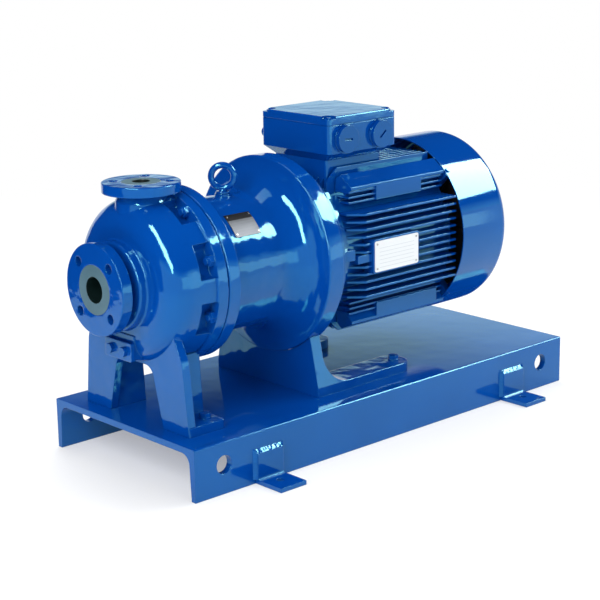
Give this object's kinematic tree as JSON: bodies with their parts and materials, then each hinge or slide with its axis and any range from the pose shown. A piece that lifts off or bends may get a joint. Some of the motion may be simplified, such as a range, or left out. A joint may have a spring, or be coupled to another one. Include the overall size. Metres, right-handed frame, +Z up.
{
  "type": "magnetic drive pump",
  "caption": "Lined single-stage centrifugal pump driven through a sealed can by magnets on a flange mounted finned electric motor, set on a channel bedplate with floor lugs.",
  "frame": {"origin": "on the floor under the middle of the overall box of the pump set", "axes": "+X along the shaft from the suction flange to the motor fan, +Z up, +Y away from the side with the motor plate"},
  "size_m": [1.0314, 0.544, 0.6062],
  "materials": {
    "enamel": "glossy blue enamel",
    "lining": "satin moulded fluoroplastic",
    "composite": "fibre laminate",
    "support_plastic": "satin moulded plastic",
    "ceramic": "lapped silicon carbide",
    "magnet": "ground",
    "cast_steel": "machined casting",
    "machined_steel": "turned and ground",
    "fastener": "zinc plated",
    "winding": "varnished copper wire",
    "fan_plastic": "moulded",
    "plug_plastic": "moulded",
    "gasket": "matt",
    "brass_stud": "machined",
    "plate_metal": "satin, bare"
  },
  "bodies": {
    "pump_set": {"base_channel": "enamel", "base_lugs": "enamel", "can_liner": "lining", "casing_liner": "lining", "casing_screws": "enamel", "containment_shell": "composite", "cowl_screws": "fastener", "drain_cover": "enamel", "drain_cover_screws": "enamel", "drive_end_bearing": "machined_steel", "drive_end_shield": "enamel", "eyebolt": "enamel", "fan_cowl": "enamel", "fan_end_bearing": "machined_steel", "fan_end_shield": "enamel", "flange_screws": "fastener", "foot_screws": "fastener", "gland_plugs": "plug_plastic", "lantern": "enamel", "lantern_foot": "enamel", "lid_screws": "fastener", "motor_frame": "enamel", "motor_plate": "plate_metal", "plate_rivets": "fastener", "pump_plate": "plate_metal", "shaft_support": "support_plastic", "stationary_shaft": "ceramic", "stator_core": "cast_steel", "stator_windings": "winding", "terminal_board": "fan_plastic", "terminal_box": "enamel", "terminal_box_gasket": "gasket", "terminal_box_lid": "enamel", "terminal_studs": "brass_stud", "thrust_rings": "ceramic", "volute_casing": "enamel", "weld_beads": "enamel"},
    "impeller_unit": {"impeller": "lining", "inner_magnet_rotor": "cast_steel", "inner_magnets": "magnet", "inner_rotor_sleeve": "lining", "bearing_bushes": "ceramic"},
    "drive_rotor": {"motor_shaft": "machined_steel", "rotor_core": "cast_steel", "fan": "fan_plastic", "outer_magnet_rotor": "cast_steel", "outer_magnets": "magnet"}
  },
  "joints": [
    {"name": "drive_spin", "type": "hinge", "parent": "pump_set", "child": "drive_rotor", "pos_m": [0, 0, 0.3492], "axis": [1, 0, 0], "continuous": true},
    {"name": "impeller_spin", "type": "hinge", "parent": "pump_set", "child": "impeller_unit", "pos_m": [-0.40575, 0, 0.3492], "axis": [1, 0, 0], "continuous": true}
  ],
  "couplings": [
    {"joint": "impeller_spin", "follows": "drive_spin", "ratio": 1}
  ]
}
